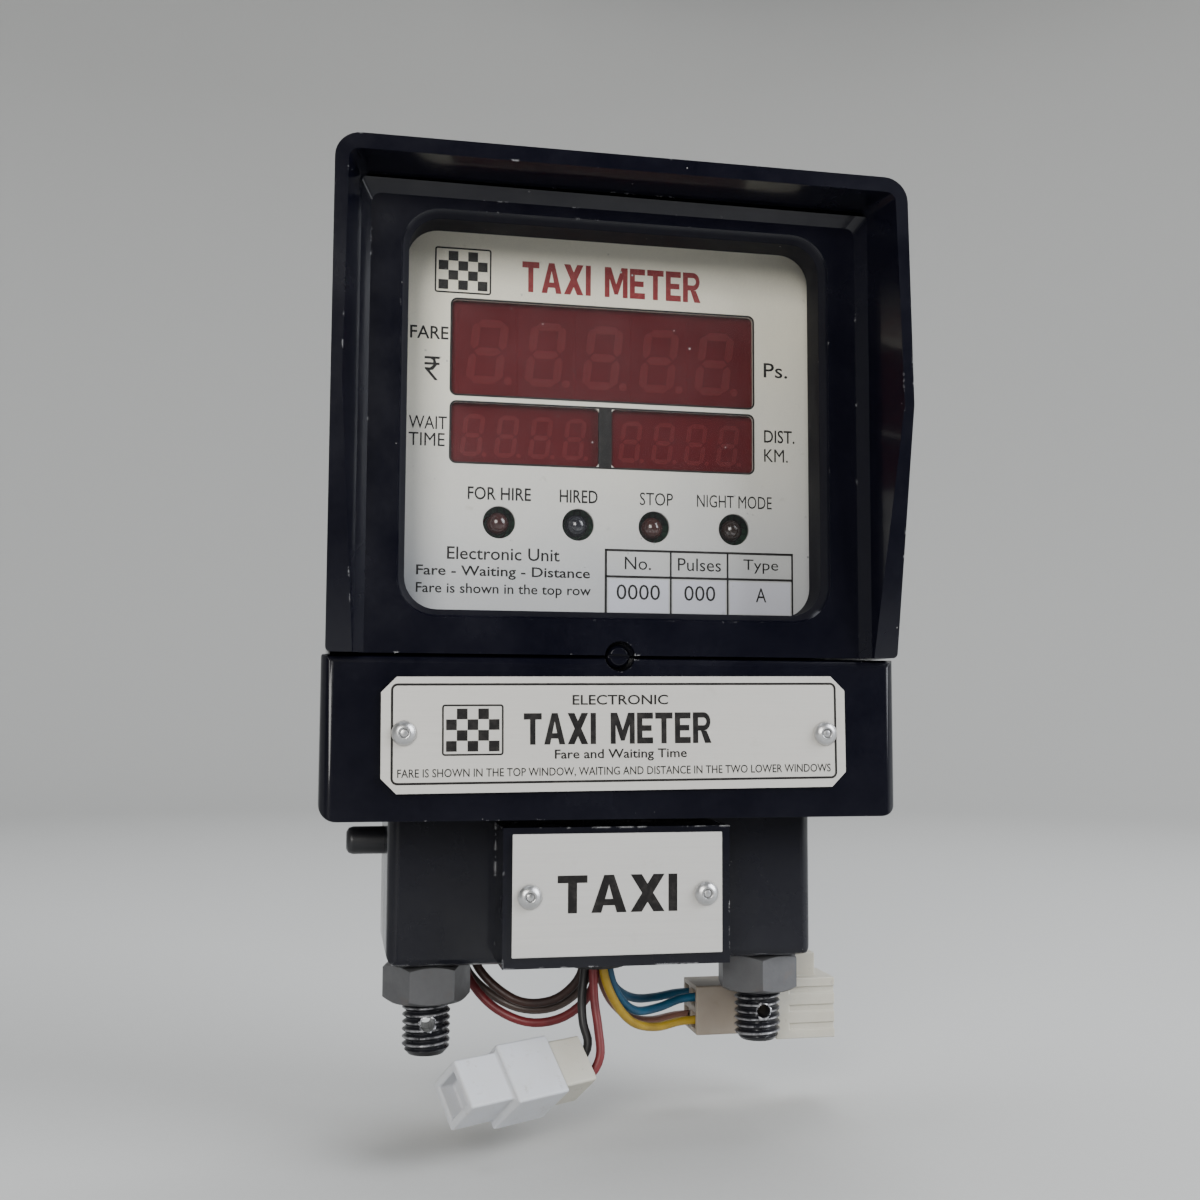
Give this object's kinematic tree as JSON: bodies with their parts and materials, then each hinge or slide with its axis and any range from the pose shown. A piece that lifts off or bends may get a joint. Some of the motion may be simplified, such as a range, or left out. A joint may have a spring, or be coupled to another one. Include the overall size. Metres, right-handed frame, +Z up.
{
  "type": "taxi meter",
  "caption": "Cast fare meter with a sun hood, red display windows, a riveted nameplate, a side push button, threaded mounting studs and a short wiring harness.",
  "frame": {"origin": "centre of the base box's flat underside, midway between the two mounting studs", "axes": "+Z up, -Y out of the dial towards the reader, +X to the reader's right"},
  "size_m": [0.1184, 0.0664, 0.1932],
  "materials": {
    "painted_casting": "gloss",
    "plate": "satin",
    "zinc": "satin",
    "black_steel": "satin",
    "steel": "gloss",
    "glass": "gloss",
    "red_filter": "gloss",
    "seal_rubber": "matte",
    "black_plastic": "matte",
    "board": "satin",
    "brass": "satin",
    "nylon": "satin",
    "lamp": "gloss",
    "wire_blue": "satin",
    "wire_yellow": "satin",
    "wire_pink": "satin",
    "wire_red": "satin",
    "wire_black": "satin",
    "wire_brown": "satin"
  },
  "bodies": {
    "meter": {"head_casting": "painted_casting", "seal_screw": "steel", "lower_casting": "painted_casting", "nameplate": "plate", "nameplate_rivet_left": "steel", "nameplate_rivet_right": "steel", "base_casting": "painted_casting", "badge_plate": "plate", "badge_rivet_left": "steel", "badge_rivet_right": "steel", "stud_left": "black_steel", "stud_right": "black_steel", "nut_left": "zinc", "nut_right": "zinc", "front_gasket": "seal_rubber", "front_glass": "glass", "dial_spacer": "black_plastic", "dial_plate": "plate", "red_filter": "red_filter", "fare_digit_1": "black_plastic", "fare_digit_2": "black_plastic", "fare_digit_3": "black_plastic", "fare_digit_4": "black_plastic", "fare_digit_5": "black_plastic", "wait_digits": "black_plastic", "distance_digits": "black_plastic", "lamp_for_hire": "lamp", "lamp_hired": "lamp", "lamp_stop": "lamp", "lamp_night": "lamp", "display_board": "board", "logic_board": "board", "board_post_1": "brass", "board_post_2": "brass", "board_post_3": "brass", "controller_chip": "black_plastic", "backup_cell": "steel", "back_gasket": "seal_rubber", "back_cover": "painted_casting", "cover_screw_1": "steel", "cover_screw_2": "steel", "cover_screw_3": "steel", "cover_screw_4": "steel", "button_spring": "steel", "button_switch": "black_plastic", "cable_grommet": "seal_rubber", "right_receptacle": "nylon", "right_plug": "nylon", "left_plug": "nylon", "left_receptacle": "nylon", "wire_blue_front": "wire_blue", "wire_blue_back": "wire_blue", "wire_yellow": "wire_yellow", "wire_pink": "wire_pink", "wire_red": "wire_red", "wire_black": "wire_black", "wire_loop_red": "wire_red", "wire_loop_brown": "wire_brown", "wire_loop_grey": "wire_brown"},
    "push_button": {"button_cap": "black_plastic"}
  },
  "joints": [
    {"name": "button_press", "type": "slide", "parent": "meter", "child": "push_button", "axis": [1, 0, 0], "range_m": [0, 0.0015], "stiffness_N_per_m": 900, "deforming": ["button_spring"]}
  ]
}
